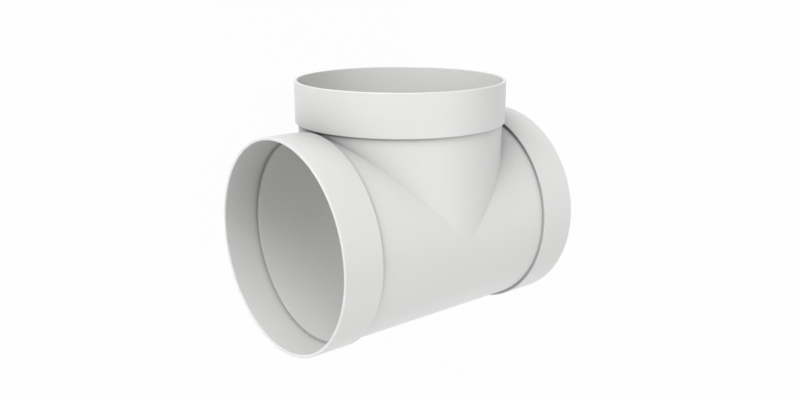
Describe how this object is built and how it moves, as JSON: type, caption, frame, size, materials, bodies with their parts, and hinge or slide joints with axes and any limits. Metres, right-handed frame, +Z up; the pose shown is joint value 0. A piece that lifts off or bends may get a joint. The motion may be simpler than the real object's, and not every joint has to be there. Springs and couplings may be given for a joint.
{
  "type": "duct tee",
  "caption": "Equal tee for round ventilation duct: a straight run with a branch square to it, and a wider plain socket with an inner stop on each arm.",
  "frame": {"origin": "on the plane that the three collars rest on, at the middle of the area that the tee covers", "axes": "+X along the run, out of the far run socket; +Y along the branch, out of its socket; +Z up from the surface that the tee lies on"},
  "size_m": [0.146, 0.125, 0.104],
  "materials": {
    "white_plastic": "moulded white plastic with a satin gloss"
  },
  "bodies": {
    "root": {"tee_body": "white_plastic"}
  },
  "joints": []
}
